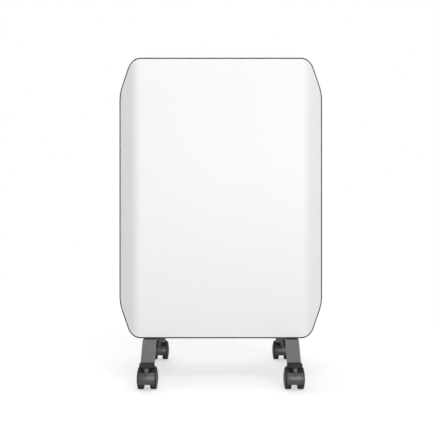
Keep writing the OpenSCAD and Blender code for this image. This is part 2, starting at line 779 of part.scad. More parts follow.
// Stem of each castor: a thick head in the end cap and a thin pin in the hood.
module castor_stems() color([0.7, 0.7, 0.72]) at_body()
    for (c = CORNERS) translate([c[1] * leg_x, c[2] * stem_y, 0]) {
        translate([0, 0, cap_z]) cylinder(r = stem_top_r, h = cap_h - 1.2);
        translate([0, 0, stem_low + 0.4]) cylinder(r = stem_r, h = cap_z - stem_low);
    }

module leg_u_bolts() color([0.7, 0.7, 0.72]) at_body()
    for (s = SIDES) translate([s[1] * leg_x, 0, 0]) {
        translate([0, 0, header_low]) rotate([90, 0, 90]) rotate_extrude(angle = 180)
            translate([bolt_ring_r, 0]) circle(bolt_r);
        for (y = [-1, 1]) translate([0, y * bolt_ring_r, bolt_end_z])
            cylinder(r = bolt_r, h = header_low - bolt_end_z);
    }

module wing_nuts() color([0.17, 0.17, 0.18]) at_body()
    for (s = SIDES, y = [-1, 1])
        translate([s[1] * leg_x, y * bolt_ring_r, leg_top_z - leg_t - wing_h]) difference() {
            union() {
                cylinder(r1 = bolt_r + 2, r2 = bolt_r + 3, h = wing_h);
                for (m = [0, 1]) mirror([m, 0, 0]) translate([2, -1, 0]) {
                    cube([9, 2, 5]);
                    translate([6.5, 0, 1]) rotate([-90, 0, 0]) cylinder(r = 4.5, h = 2);
                }
            }
            translate([0, 0, -1]) cylinder(r = bolt_r + run_fit, h = wing_h + 2);
        }

// Castors, drawn about the swivel axis with the wheels trailing towards +Y

module at_castor(c) at_body() translate([c[1] * leg_x, c[2] * stem_y, 0]) children();

module fender(span) across(fender_step - tread_out) linear_extrude(2 * (tread_out - fender_step))
    translate([trail, wheel_r]) ring_slice(fender_r, fender_r + fender_t, span[0], span[1]);

// Tongue on the front of the hood that narrows downwards between two recesses.
module tongue() intersection() {
    translate([0, 0, tongue_low]) cylinder(r = boss_r, h = hood_top - tongue_low);
    rotate([90, 0, 0]) linear_extrude(boss_r + 1)
        polygon([[-tongue_tip, tongue_low], [tongue_tip, tongue_low],
                 [tongue_top, hood_top], [-tongue_top, hood_top]]);
}

module castor_hood(c) color([0.17, 0.17, 0.18]) at_castor(c) difference() {
    union() {
        across(-web_t / 2) linear_extrude(web_t) translate([trail, wheel_r]) intersection() {
            circle(fender_r + fender_t / 2);
            translate([-2 * wheel_r, -axle_r - 4]) square([3 * wheel_r - 0.5, 4 * wheel_r]);
        }
        fender(front_band);
        fender(top_band);
        translate([0, 0, stem_low - 2]) cylinder(r = tube_r, h = hood_top - stem_low + 2);
        tongue();
    }
    translate([0, 0, stem_low]) cylinder(r = stem_r + run_fit, h = hood_top);
    along_x(-web_t, trail, wheel_r) cylinder(r = axle_r + seat_fit, h = 2 * web_t);
}

module castor_axle(c) color([0.7, 0.7, 0.72]) at_castor(c)
    along_x(-axle_l / 2, trail, wheel_r) cylinder(r = axle_r, h = axle_l);

// Half section of a wheel: radius along x, distance from the castor's middle along y.
module wheel_section() {
    edge = tread_edge;
    dome_w = wheel_r - edge;
    dome_r = (dome_w * dome_w + dome_h * dome_h) / (2 * dome_h);
    difference() {
        union() {
            translate([0, hub_in]) square([wheel_r / 2, tread_in]);
            translate([0, tread_in]) square([wheel_r - edge, tread_w]);
            translate([0, tread_in + edge]) square([wheel_r, tread_w - 2 * edge]);
            for (y = [tread_in + edge, tread_out - edge]) translate([wheel_r - edge, y]) circle(edge);
            intersection() {
                translate([0, tread_out + dome_h - dome_r]) circle(dome_r);
                translate([0, tread_out - 1]) square([dome_w, dome_h + 2]);
            }
        }
        translate([-1, 0]) square([axle_r + run_fit + 1, axle_l / 2 + 0.3]);
        translate([dome_w - groove_w - 1, tread_out - groove_w]) square([groove_w, dome_h + groove_w]);
    }
}

module castor_wheel(c, side) color([0.13, 0.13, 0.14]) at_castor(c)
    translate([0, trail, wheel_r]) rotate([0, side * 90, 0]) rotate_extrude() wheel_section();

// Every node

front_cover();
rear_cover();
front_edge_trim();
rear_edge_trim();
for (i = [0:fin_count - 1])
    fin_node(i);
oil_fill_plug();
heating_element();
element_gasket();
control_backplate();
control_housing();
control_fascia();
housing_screws();
thermostat();
thermostat_shaft();
thermostat_knob();
switch_body();
rocker(-1);  // power_rocker_1
rocker(1);  // power_rocker_2
pilot_lamp();
thermal_cutout();
terminal_block();
cord_gland();
cover_nuts();
leg_u_bolts();
wing_nuts();
castor_stems();
for (l = LEVELS, s = SIDES)
    cover_bracket(s[1], l[1]);
for (s = SIDES)
    leg(s[1]);
for (c = CORNERS) {
    leg_cap(c[1], c[2]);
    castor_hood(c);
    castor_axle(c);
    castor_wheel(c, c[1]);
    castor_wheel(c, -c[1]);
}
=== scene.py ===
from math import atan2, cos, radians, sin, tan

import bmesh
import bpy
from mathutils import Matrix, Vector


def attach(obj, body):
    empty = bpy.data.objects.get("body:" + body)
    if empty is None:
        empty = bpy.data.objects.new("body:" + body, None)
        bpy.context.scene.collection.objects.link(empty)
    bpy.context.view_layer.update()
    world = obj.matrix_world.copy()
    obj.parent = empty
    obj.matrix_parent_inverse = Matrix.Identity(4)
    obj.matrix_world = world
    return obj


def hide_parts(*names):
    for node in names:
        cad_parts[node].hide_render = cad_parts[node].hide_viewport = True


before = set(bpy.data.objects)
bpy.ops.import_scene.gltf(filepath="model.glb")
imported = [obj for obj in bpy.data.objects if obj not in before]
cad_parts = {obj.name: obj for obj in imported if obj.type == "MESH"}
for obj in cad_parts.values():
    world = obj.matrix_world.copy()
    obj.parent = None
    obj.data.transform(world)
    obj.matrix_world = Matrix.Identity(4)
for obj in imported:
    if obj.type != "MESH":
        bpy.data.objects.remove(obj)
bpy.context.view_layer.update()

scene = bpy.context.scene


# Studio: a level camera in front of the radiator, a pale floor and three plain softboxes.
# The floor and the room behind show white; only the shadow under the radiator darkens the floor.
FLOOR_HALF, PAPER, PAPER_SEEN = 30, (0.80, 0.80, 0.80, 1), (1.52, 1.52, 1.52, 1)
GLOW_NEAR, GLOW_FROM, GLOW_TO = 0.52, 0.9, 2.4
ROOM_LEVEL, ROOM_SEEN = 0.385, 1.0


class Wire:
    """A shader value: arithmetic on it adds the Math nodes."""

    def __init__(self, finish, socket):
        self.finish = finish
        self.socket = socket

    def math(self, operation, first, second):
        return self.finish.node("ShaderNodeMath", {"operation": operation}, {0: first, 1: second})

    def __add__(self, other):
        return self.math("ADD", self, other)

    def __radd__(self, other):
        return self.math("ADD", other, self)

    def __sub__(self, other):
        return self.math("SUBTRACT", self, other)

    def __rsub__(self, other):
        return self.math("SUBTRACT", other, self)

    def __mul__(self, other):
        return self.math("MULTIPLY", self, other)

    def __rmul__(self, other):
        return self.math("MULTIPLY", other, self)

    def __lt__(self, other):
        return self.math("LESS_THAN", self, other)

    def __pow__(self, other):
        return self.math("POWER", self, other)

    def size(self):
        return self.math("ABSOLUTE", self, 0.0)

    def least(self, other):
        return self.math("MINIMUM", self, other)


class Finish:
    """One material and the nodes that make it."""

    def __init__(self, name):
        self.material = bpy.data.materials.new(name)
        self.material.use_nodes = True
        self.tree = self.material.node_tree
        self.tree.nodes.clear()

    def node(self, kind, settings=None, sockets=None, out=0):
        made = self.tree.nodes.new(kind)
        for key, value in (settings or {}).items():
            setattr(made, key, value)
        for key, value in (sockets or {}).items():
            if isinstance(value, Wire):
                self.tree.links.new(value.socket, made.inputs[key])
            else:
                made.inputs[key].default_value = value
        return Wire(self, made.outputs[out]) if made.outputs else made

    def place(self):
        return self.node("ShaderNodeTexCoord", out="Object")

    def axis(self, letter):
        return self.node("ShaderNodeSeparateXYZ", None, {0: self.place()}, letter)

    def stretched(self, scale):
        return self.node("ShaderNodeMapping", None, {"Vector": self.place(), "Scale": scale})

    def noise(self, scale, detail=2.0, where=None):
        return self.node("ShaderNodeTexNoise", None,
                         {"Vector": where or self.place(), "Scale": scale, "Detail": detail}, "Fac")

    def blend(self, share, first, second):
        return self.node("ShaderNodeMix", {"data_type": "RGBA"}, {0: share, 6: first, 7: second}, 2)

    def bump(self, height, depth, below=None):
        sockets = {"Height": height, "Distance": depth, "Strength": 1.0}
        if below:
            sockets["Normal"] = below
        return self.node("ShaderNodeBump", None, sockets)

    def surface(self, **sockets):
        named = {key.replace("_", " ").title().replace("Ior", "IOR"): value
                 for key, value in sockets.items()}
        return self.output(self.node("ShaderNodeBsdfPrincipled", None, named))

    def output(self, shader):
        self.node("ShaderNodeOutputMaterial", None, {"Surface": shader})
        return self.material


camera_data = bpy.data.cameras.new("camera")
camera_data.lens = 52.5
camera_data.sensor_width = 36.0
camera = bpy.data.objects.new("camera", camera_data)
camera.location = (-0.0015, -1.321, 0.3143)
camera.rotation_euler = (radians(90), 0, 0)
scene.collection.objects.link(camera)
scene.camera = camera
scene.view_settings.view_transform = "Standard"

floor_mesh = bmesh.new()
bmesh.ops.create_grid(floor_mesh, x_segments=1, y_segments=1, size=FLOOR_HALF)
floor_data = bpy.data.meshes.new("floor")
floor_mesh.to_mesh(floor_data)
floor_mesh.free()
floor = bpy.data.objects.new("floor", floor_data)
scene.collection.objects.link(floor)

floor_paper = Finish("floor_paper")
seen = floor_paper.node("ShaderNodeLightPath", out="Is Camera Ray")
paper_grey = floor_paper.blend(seen, PAPER, PAPER_SEEN)
paper = floor_paper.node("ShaderNodeBsdfDiffuse", None, {"Color": paper_grey})
far = floor_paper.node("ShaderNodeVectorMath", {"operation": "LENGTH"}, {0: floor_paper.place()},
                       "Value")
far_share = floor_paper.node("ShaderNodeMapRange", {"interpolation_type": "SMOOTHSTEP"},
                             {"Value": far, "From Min": GLOW_FROM, "From Max": GLOW_TO})
glow = floor_paper.node("ShaderNodeEmission", None, {"Color": (1, 1, 1, 1), "Strength": 1.0})
glow_share = (GLOW_NEAR + (1.0 - GLOW_NEAR) * far_share) * seen
floor_data.materials.append(floor_paper.output(
    floor_paper.node("ShaderNodeMixShader", None, {0: glow_share, 1: paper, 2: glow})))

world = bpy.data.worlds.new("studio")
world.use_nodes = True
scene.world = world
sky = world.node_tree
sky.nodes.clear()
rays = sky.nodes.new("ShaderNodeLightPath")
direct = sky.nodes.new("ShaderNodeMath")
direct.operation = "MAXIMUM"
sky.links.new(rays.outputs["Is Camera Ray"], direct.inputs[0])
sky.links.new(rays.outputs["Is Transmission Ray"], direct.inputs[1])
brightness = sky.nodes.new("ShaderNodeMix")
brightness.inputs[2].default_value = ROOM_LEVEL
brightness.inputs[3].default_value = ROOM_SEEN
sky.links.new(direct.outputs[0], brightness.inputs[0])
room = sky.nodes.new("ShaderNodeBackground")
room.inputs["Color"].default_value = (1, 1, 1, 1)
sky.links.new(brightness.outputs[0], room.inputs["Strength"])
room_out = sky.nodes.new("ShaderNodeOutputWorld")
sky.links.new(room.outputs[0], room_out.inputs["Surface"])

for name, spot, aim, width, height, power in (
        ("front_softbox", (0.95, -4.4, 0.95), (0, 0, 0.31), 4.0, 1.5, 92),
        ("top_softbox", (0.25, -1.7, 2.5), (0, 0, 0.50), 2.0, 1.2, 19),
        ("rear_softbox", (-0.6, 2.6, 1.5), (0, 0, 0.35), 1.6, 1.6, 22)):
    lamp_data = bpy.data.lights.new(name, "AREA")
    lamp_data.shape = "RECTANGLE"
    lamp_data.size, lamp_data.size_y = width, height
    lamp_data.energy = power
    lamp = bpy.data.objects.new(name, lamp_data)
    lamp.location = spot
    lamp.rotation_euler = (Vector(aim) - Vector(spot)).to_track_quat("-Z", "Y").to_euler()
    scene.collection.objects.link(lamp)


# Oil fins: two pressed steel sheets welded together, with oil channels, dishes round the headers
# and folded edges, coated with the same white enamel as the covers. A seam weld runs just inside
# the border, and spot welds hold the web between the channels.
BODY_Y = -0.014
FIN_COUNT, FIN_PITCH, FIRST_FIN_X = 8, 0.039, -0.156
FIN_HALF_D, FIN_HALF_H, FIN_MID, FIN_T = 0.062, 0.250, 0.346, 0.0012
SEAM_IN, SEAM_HALF_W, SEAM_RISE = 0.0055, 0.0011, 0.0004
SPOT_LEVELS, SPOT_SUNK = (0.196, 0.271, 0.346, 0.421, 0.496), 0.00002
SPOT_PROFILE = ((0.0, 0.0032), (0.00028, 0.0029), (0.00034, 0.0022), (0.00018, 0.0014), (0.00012, 0.0))
MERGE_GAP, FLAT_ANGLE = 2e-6, radians(0.6)


def paint(material, *names):
    for name in names:
        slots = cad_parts[name].data.materials
        slots.clear()
        slots.append(material)


def soften(bm, width, angle=28.0, segments=2):
    """Rounds the edges that are sharper than an angle."""
    sharp = [e for e in bm.edges if len(e.link_faces) == 2 and e.calc_face_angle(0) > radians(angle)]
    bmesh.ops.bevel(bm, geom=sharp, offset=width, offset_type="OFFSET", segments=segments, profile=0.5,
                    affect="EDGES", material=-1, clamp_overlap=True)
    return bm


def shape_of(node, round_off=0.0, angle=28.0, segments=2):
    """Mesh of a CAD node with its triangles joined and, if asked, its sharp edges rounded off."""
    bm = bmesh.new()
    bm.from_mesh(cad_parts[node].data)
    bmesh.ops.remove_doubles(bm, verts=bm.verts, dist=MERGE_GAP)
    bmesh.ops.dissolve_limit(bm, angle_limit=FLAT_ANGLE, verts=bm.verts, edges=bm.edges)
    return soften(bm, round_off, angle, segments) if round_off else bm


def add_piece(name, bm, material, body, slot, *nodes, smooth=32.0):
    """Makes an object of a mesh, on its body, in place of the CAD nodes that are named. Its slot is not
    used.
    """
    mesh = bpy.data.meshes.new(name)
    bm.to_mesh(mesh)
    bm.free()
    mesh.materials.append(material)
    for face in mesh.polygons:
        face.use_smooth = True
    mesh.set_sharp_from_angle(angle=radians(smooth))
    piece = bpy.data.objects.new(name, mesh)
    scene.collection.objects.link(piece)
    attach(piece, body)
    if nodes:
        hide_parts(*nodes)
    return piece


def turned(profile, steps=64, closed=False):
    """Round solid about the X axis from points of its half section: reach along X, then radius."""
    bm = bmesh.new()
    points = [bm.verts.new((x, 0, r)) for x, r in profile]
    lines = [bm.edges.new(pair) for pair in zip(points, points[1:])]
    if closed:
        lines.append(bm.edges.new((points[-1], points[0])))
    bmesh.ops.spin(bm, geom=points + lines, cent=(0, 0, 0), axis=(1, 0, 0), angle=radians(360),
                   steps=steps, use_merge=True)
    bmesh.ops.remove_doubles(bm, verts=bm.verts, dist=1e-6)
    bmesh.ops.recalc_face_normals(bm, faces=bm.faces)
    return bm


def put(bm, where, turn=None):
    """Turns a piece about the origin and moves it to its place."""
    bmesh.ops.transform(bm, matrix=Matrix.Translation(where) @ (turn or Matrix()), verts=bm.verts)
    return bm


def facing_x(way):
    """Turn for a piece that is made to face +X: none, or half a turn for a way below 0."""
    return Matrix.Rotation(radians(0 if way > 0 else 180), 4, "Z")


def joined(*parts):
    """One mesh of several, each of them closed."""
    whole = bmesh.new()
    for part in parts:
        mesh = bpy.data.meshes.new("part")
        part.to_mesh(mesh)
        part.free()
        whole.from_mesh(mesh)
        bpy.data.meshes.remove(mesh)
    return whole


def toned(colour, red=1.0, green=1.0, blue=1.0):
    """A colour times a share of each channel, with its alpha."""
    return (colour[0] * red, colour[1] * green, colour[2] * blue, 1)


def enamel(name, colour, roughness, seam=None):
    coat = Finish(name)
    cloud = coat.noise(9.0, detail=3.0)
    tone = coat.blend(cloud, toned(colour), toned(colour, 0.985, 0.985, 0.98))
    skin = coat.bump(coat.noise(520.0, detail=1.0), 0.000012)
    if seam:
        skin = coat.bump(seam(coat), SEAM_RISE, skin)
    return coat.surface(base_color=tone, roughness=roughness + 0.06 * cloud, specular_ior_level=0.4,
                        normal=skin)


def seam_weld(coat):
    """1 on a line that runs just inside the border of a fin."""
    side = FIN_HALF_D - (coat.axis("Y") - BODY_Y).size()
    end = FIN_HALF_H - (coat.axis("Z") - FIN_MID).size()
    return (side.least(end) - SEAM_IN).size() < SEAM_HALF_W


def spot_weld():
    """Dimpled mark of a spot weld, facing +X."""
    spot = turned(SPOT_PROFILE, steps=16)
    bmesh.ops.contextual_create(spot, geom=[e for e in spot.edges if e.is_boundary])
    bmesh.ops.recalc_face_normals(spot, faces=spot.faces)
    return spot


white_enamel = enamel("white_enamel", (0.885, 0.885, 0.88), roughness=0.42)
fin_enamel = enamel("fin_enamel", (0.88, 0.88, 0.875), roughness=0.36, seam=seam_weld)
spots = []
for i in range(FIN_COUNT):
    fin = "oil_fin_%d" % (i + 1)
    add_piece(fin + "_pressing", shape_of(fin), fin_enamel, "radiator", "white_enamel", fin)
    for face in (-1, 1):
        for z in SPOT_LEVELS:
            x = FIRST_FIN_X + FIN_PITCH * i + face * (FIN_T / 2 - SPOT_SUNK)
            spots.append(put(spot_weld(), (x, BODY_Y, z), facing_x(face)))
add_piece("fin_spot_welds", joined(*spots), fin_enamel, "radiator", "white_enamel")


# Fill plug, element and its gasket: a zinc-plated plug, a heater of bright sheathed tubes on a
# hexagon flange, and a ring of black rubber under the flange.
def plated(name, colour, roughness, stretch):
    metal = Finish(name)
    streak = metal.noise(60.0, where=metal.stretched(stretch))
    tone = metal.blend(metal.noise(35.0, detail=3.0), toned(colour), toned(colour, 0.86, 0.87, 0.90))
    return metal.surface(base_color=tone, metallic=1.0, roughness=roughness + 0.16 * streak,
                         normal=metal.bump(streak, 0.00001))


zinc = plated("zinc_plate", (0.66, 0.67, 0.69), roughness=0.26, stretch=(1.0, 14.0, 1.0))
sheath = plated("heater_sheath", (0.52, 0.50, 0.47), roughness=0.34, stretch=(1.0, 10.0, 10.0))

rubber = Finish("gasket_rubber")
rubber_tone = rubber.blend(rubber.noise(300.0), (0.035, 0.035, 0.037, 1), (0.055, 0.055, 0.056, 1))
gasket_rubber = rubber.surface(base_color=rubber_tone, roughness=0.8,
                               normal=rubber.bump(rubber.noise(900.0), 0.00003))
add_piece("fill_plug_hexagon", shape_of("oil_fill_plug", round_off=0.0005), zinc, "radiator",
          "zinc_steel", "oil_fill_plug")
paint(sheath, "heating_element")
paint(gasket_rubber, "element_gasket")


# Control end: a pressed zinc-plated backplate and a moulded housing of fine-grained black plastic
# with two groups of vent slots, held by four cross-head screws.
HOUSING_FACE = 0.1775
SCREW_Y, SCREW_LOW, SCREW_TOP = 0.036, 0.116, 0.576
HEAD_R, HEAD_H, HEAD_LAP = 0.0032, 0.0016, 0.0002
CROSS_HALF_W, CROSS_REACH = 0.00035, 0.0013
SHANK_R, SHANK_L = 0.00155, 0.0082
CROWN_FLAT, CROWN_STEPS = 0.62, ((1.24, 0.12), (1.13, 0.22), (1.09, 0.30), (1.05, 0.36))
WELL_DEPTH = 0.62


def moulding(name, colour, roughness, grain, depth, gloss=0.5):
    plastic = Finish(name)
    tone = plastic.blend(plastic.noise(14.0), toned(colour), toned(colour, 1.16, 1.16, 1.16))
    skin = plastic.noise(grain)
    return plastic.surface(base_color=tone, roughness=roughness + 0.10 * skin, specular_ior_level=gloss,
                           normal=plastic.bump(skin, depth))


def edges_in(geometry):
    return [g for g in geometry if isinstance(g, bmesh.types.BMEdge)]


def ends_of(edges):
    return list(dict.fromkeys(v for e in edges for v in e.verts))


def rod(radius, length, steps):
    """Round rod from the origin along +X."""
    return turned(((0.0, 0.0), (0.0, radius), (length, radius), (length, 0.0)), steps)


def cross_head(radius, height, half, reach):
    """Pan head of a screw, facing +X: a crown in steps with a cross pressed into its flat top.

    CROWN_STEPS gives each step's growth and its drop, as a share of the head's height."""
    head = bmesh.new()
    bmesh.ops.create_circle(head, cap_ends=False, segments=32, radius=radius * CROWN_FLAT)
    corners = [(reach, half), (half, half), (half, reach), (-half, reach), (-half, half), (-reach, half),
               (-reach, -half), (-half, -half), (-half, -reach), (half, -reach), (half, -half),
               (reach, -half)]
    cross = [head.verts.new((x, y, 0)) for x, y in corners]
    cross_face = bmesh.ops.contextual_create(head, geom=cross)["faces"]
    bmesh.ops.triangle_fill(head, use_beauty=True, normal=(0, 0, 1),
                            edges=[e for e in head.edges if len(e.link_faces) < 2])
    inside = [f for f in head.faces if f not in cross_face and all(v in cross for v in f.verts)]
    bmesh.ops.delete(head, geom=inside, context="FACES_ONLY")
    well = bmesh.ops.extrude_face_region(head, geom=cross_face)["geom"]
    well_verts = [v for v in well if isinstance(v, bmesh.types.BMVert)]
    bmesh.ops.translate(head, vec=(0, 0, -height * WELL_DEPTH), verts=well_verts)
    bmesh.ops.delete(head, geom=[f for f in cross_face if f.is_valid], context="FACES_ONLY")
    ring = [e for e in head.edges if e.is_boundary]
    for grow, drop in CROWN_STEPS:
        ring = edges_in(bmesh.ops.extrude_edge_only(head, edges=ring)["geom"])
        bmesh.ops.scale(head, vec=(grow, grow, 1), verts=ends_of(ring))
        bmesh.ops.translate(head, vec=(0, 0, -height * drop), verts=ends_of(ring))
    bmesh.ops.contextual_create(head, geom=ring)
    bmesh.ops.recalc_face_normals(head, faces=head.faces)
    rise = max(v.co.z for v in head.verts) - min(v.co.z for v in head.verts)
    widest = max(v.co.x for v in head.verts)
    bmesh.ops.scale(head, vec=(radius / widest, radius / widest, height / rise), verts=head.verts)
    bmesh.ops.translate(head, vec=(0, 0, height), verts=head.verts)
    return put(head, (0, 0, 0), Matrix.Rotation(radians(90), 4, "Y"))


housing_plastic = moulding("housing_plastic", (0.020, 0.020, 0.022), roughness=0.42, grain=1400.0,
                           depth=0.00003)
add_piece("backplate_sheet", shape_of("control_backplate", round_off=0.0003), zinc, "radiator",
          "zinc_steel", "control_backplate")
add_piece("housing_shell", shape_of("control_housing"), housing_plastic, "radiator", "housing_plastic",
          "control_housing")
screws = []
for side, z, degrees in ((-1, SCREW_LOW, 90.4), (-1, SCREW_TOP, 144.4), (1, SCREW_LOW, 152.4),
                         (1, SCREW_TOP, 206.4)):
    y = BODY_Y + side * SCREW_Y
    screws.append(put(cross_head(HEAD_R, HEAD_H, CROSS_HALF_W, CROSS_REACH), (HOUSING_FACE, y, z),
                      Matrix.Rotation(radians(degrees), 4, "X")))
    screws.append(put(rod(SHANK_R, SHANK_L, steps=20), (HOUSING_FACE - SHANK_L + HEAD_LAP, y, z)))
add_piece("cross_head_screws", joined(*screws), zinc, "radiator", "zinc_steel", "housing_screws",
          smooth=40)


# Fascia, switches, lamp and knob: a glossy black strip with the rockers set in their frames, an
# amber lamp and a ribbed knob with a white pointer. The scale and the rockers' signs are printed.
# Behind it stand the thermostat, the thermal cut-out and the terminal block, in resin and clay.
FASCIA_FACE = 0.1795
KNOB_Z, KNOB_R, KNOB_H, KNOB_GAP = 0.522, 0.022, 0.013, 0.0005
SCALE_START, SCALE_TURN, SCALE_MARKS, TICKS_A_MARK = radians(225), radians(270), 6, 5
TICK_OUT, TICK_T, LONG_TICK, SHORT_TICK = 0.0016, 0.00012, (0.0024, 0.0005), (0.0012, 0.0003)
NUMBER_OUT, NUMBER_SIZE, NUMBER_T = 0.0076, 0.0056, 0.00006
ROCKER_Y, ROCKER_PIVOT = 0.013, Vector((0.1765, 0, 0.434))
ROCKER_RISE, ROCKER_TILT = 0.0034, radians(7)
SIGN_Z, SIGN_SIZE, SIGN_T = 0.0050, 0.0050, 0.00008
POINTER_IN, POINTER_OUT, POINTER_W, POINTER_T, POINTER_EDGE = 0.01005, 0.0167, 0.00145, 0.0007, 0.00015
LAMP_R, LAMP_Z, LAMP_TIP = 0.0035, 0.47225, 0.0016
LAMP_RIM, LAMP_RIM_T, LAMP_DOME = 0.0008, 0.0004, 0.0005
LAMP_STEM_R, LAMP_STEM_L, LAMP_STEM_IN = 0.0034, 0.0102, 0.0104
TOWARDS_X = Matrix(((0, 0, 1, 0), (1, 0, 0, 0), (0, 1, 0, 0), (0, 0, 0, 1)))

gloss_black = moulding("gloss_black", (0.012, 0.012, 0.013), roughness=0.12, grain=30.0, depth=0.000004)
rocker_plastic = moulding("rocker_plastic", (0.018, 0.018, 0.019), roughness=0.24, grain=900.0,
                          depth=0.00001)
dial_plastic = moulding("dial_plastic", (0.030, 0.030, 0.032), roughness=0.36, grain=1500.0,
                        depth=0.00002)
resin = moulding("moulded_resin", (0.52, 0.48, 0.38), roughness=0.50, grain=500.0, depth=0.00002)
terminal_clay = moulding("terminal_clay", (0.76, 0.74, 0.68), roughness=0.60, grain=350.0,
                         depth=0.00004)
print_white = moulding("print_white", (0.62, 0.62, 0.61), roughness=0.45, grain=2500.0, depth=0.000004)


def lettered(text, size, thick):
    """Printed sign facing +X, centred on the origin."""
    curve = bpy.data.curves.new("sign", "FONT")
    curve.body, curve.size = text, size
    curve.align_x, curve.align_y = "CENTER", "CENTER"
    curve.extrude, curve.resolution_u = thick, 5
    sign = bpy.data.objects.new("sign", curve)
    scene.collection.objects.link(sign)
    mesh = bpy.data.meshes.new_from_object(sign.evaluated_get(bpy.context.evaluated_depsgraph_get()))
    bm = bmesh.new()
    bm.from_mesh(mesh)
    bmesh.ops.remove_doubles(bm, verts=bm.verts, dist=1e-7)
    bmesh.ops.recalc_face_normals(bm, faces=bm.faces)
    bpy.data.objects.remove(sign)
    bpy.data.meshes.remove(mesh)
    return put(bm, (0, 0, 0), TOWARDS_X)


def block(x, y, z):
    """Small block centred on the origin."""
    bm = bmesh.new()
    bmesh.ops.create_cube(bm, size=1.0)
    bmesh.ops.scale(bm, vec=(x, y, z), verts=bm.verts)
    return bm


def round_dial(angle, radius):
    """Place on the fascia at an angle from the right-hand side, anticlockwise, about the knob."""
    return Vector((FASCIA_FACE, BODY_Y + radius * cos(angle), KNOB_Z + radius * sin(angle)))


add_piece("fascia_strip", shape_of("control_fascia", round_off=0.0004, segments=3), gloss_black,
          "radiator", "gloss_black_plastic", "control_fascia")
print_marks = []
for i in range(TICKS_A_MARK * SCALE_MARKS + 1):
    numbered = i % TICKS_A_MARK == 0
    angle = SCALE_START - SCALE_TURN * i / (TICKS_A_MARK * SCALE_MARKS)
    length, width = LONG_TICK if numbered else SHORT_TICK
    print_marks.append(put(block(TICK_T, length, width),
                           round_dial(angle, KNOB_R + TICK_OUT + length / 2),
                           Matrix.Rotation(angle, 4, "X")))
    if numbered:
        print_marks.append(put(lettered(str(i // TICKS_A_MARK), NUMBER_SIZE, NUMBER_T),
                               round_dial(angle, KNOB_R + NUMBER_OUT)))
add_piece("dial_scale_print", joined(*print_marks), print_white, "radiator", "white_enamel")

add_piece("switch_frames", shape_of("switch_body", round_off=0.0003), gloss_black, "radiator",
          "gloss_black_plastic", "switch_body")
for number, side, sign_text in ((1, -1, "I"), (2, 1, "II")):
    name = "front_rocker" if side < 0 else "rear_rocker"
    rocker = "power_rocker_%d" % number
    add_piece(name + "_key", shape_of(rocker, round_off=0.0005, segments=3), rocker_plastic, name,
              "rocker_plastic", rocker)
    marks = []
    for half, sign in ((1, sign_text), (-1, "O")):
        face = Vector((ROCKER_RISE + SIGN_Z * tan(ROCKER_TILT), 0, half * SIGN_Z))
        marks.append(put(lettered(sign, SIGN_SIZE, SIGN_T), face,
                         Matrix.Rotation(half * ROCKER_TILT, 4, "Y")))
    centre = ROCKER_PIVOT + Vector((0, BODY_Y + side * ROCKER_Y, 0))
    add_piece(name + "_marks", put(joined(*marks), centre, Matrix.Rotation(ROCKER_TILT, 4, "Y")),
              print_white, name, "white_enamel")

add_piece("dial", shape_of("thermostat_knob", round_off=0.00035, angle=40.0), dial_plastic,
          "thermostat_dial", "dial_plastic", "thermostat_knob", smooth=25)
pointer = soften(block(POINTER_T, POINTER_OUT - POINTER_IN, POINTER_W), POINTER_EDGE)
pointer_mid = round_dial(SCALE_START, (POINTER_IN + POINTER_OUT) / 2)
pointer_mid.x += KNOB_GAP + KNOB_H - POINTER_T / 2
add_piece("dial_pointer", put(pointer, pointer_mid, Matrix.Rotation(SCALE_START, 4, "X")), print_white,
          "thermostat_dial", "white_enamel")

lens = Finish("lamp_lens")
cast = lens.noise(900.0, detail=1.0)
lamp_lens = lens.surface(base_color=lens.blend(cast, (0.75, 0.14, 0.03, 1), (0.85, 0.24, 0.06, 1)),
                         roughness=0.15, normal=lens.bump(cast, 0.00005))
cap = [(0.0, 0.0), (0.0, LAMP_R + LAMP_RIM), (LAMP_RIM_T, LAMP_R + LAMP_RIM)]
cap += [(LAMP_RIM_T + (LAMP_TIP - LAMP_RIM_T) * sin(radians(a)), (LAMP_R + LAMP_DOME) * cos(radians(a)))
        for a in range(0, 91, 10)]
lamp_dome = put(turned(cap, steps=40), (FASCIA_FACE, BODY_Y, LAMP_Z))
lamp_stem = put(rod(LAMP_STEM_R, LAMP_STEM_L, steps=32), (FASCIA_FACE - LAMP_STEM_IN, BODY_Y, LAMP_Z))
add_piece("lamp_cap", joined(lamp_dome, lamp_stem), lamp_lens, "radiator", "lamp_lens", "pilot_lamp")
paint(zinc, "thermostat_shaft")
paint(resin, "thermostat", "thermal_cutout")
paint(terminal_clay, "terminal_block")
add_piece("gland_nut", shape_of("cord_gland", round_off=0.0004), housing_plastic, "radiator",
          "housing_plastic", "cord_gland")


# Cover brackets: straps of zinc-plated steel bent over the headers, with nuts on the threaded studs
# that are welded to the backs of the covers.
STUD_X, STUD_START, STUD_LEVELS = 0.0975, 0.0756, (0.5744, 0.1176)
STUD_R, STUD_PLAIN, STUD_L, STUD_PITCH = 0.002, 0.0015, 0.0094, 0.0007
THREAD, THREAD_END = ((0.35, 0.35), (0.5, 0.35), (0.85, 0.04), (1, 0.04)), 0.5


def threaded(radius, plain, length, pitch):
    """Rod along +X: plain at first, then threaded up to its length.

    THREAD gives the points of one thread, along the rod and below its radius, in pitches."""
    profile = [(0.0, 0.0), (0.0, radius), (plain, radius)]
    for i in range(int((length - plain) / pitch)):
        profile += [(plain + (i + along) * pitch, radius - pitch * below) for along, below in THREAD]
    return turned(profile + [(length, radius - pitch * THREAD_END), (length, 0.0)], steps=24)


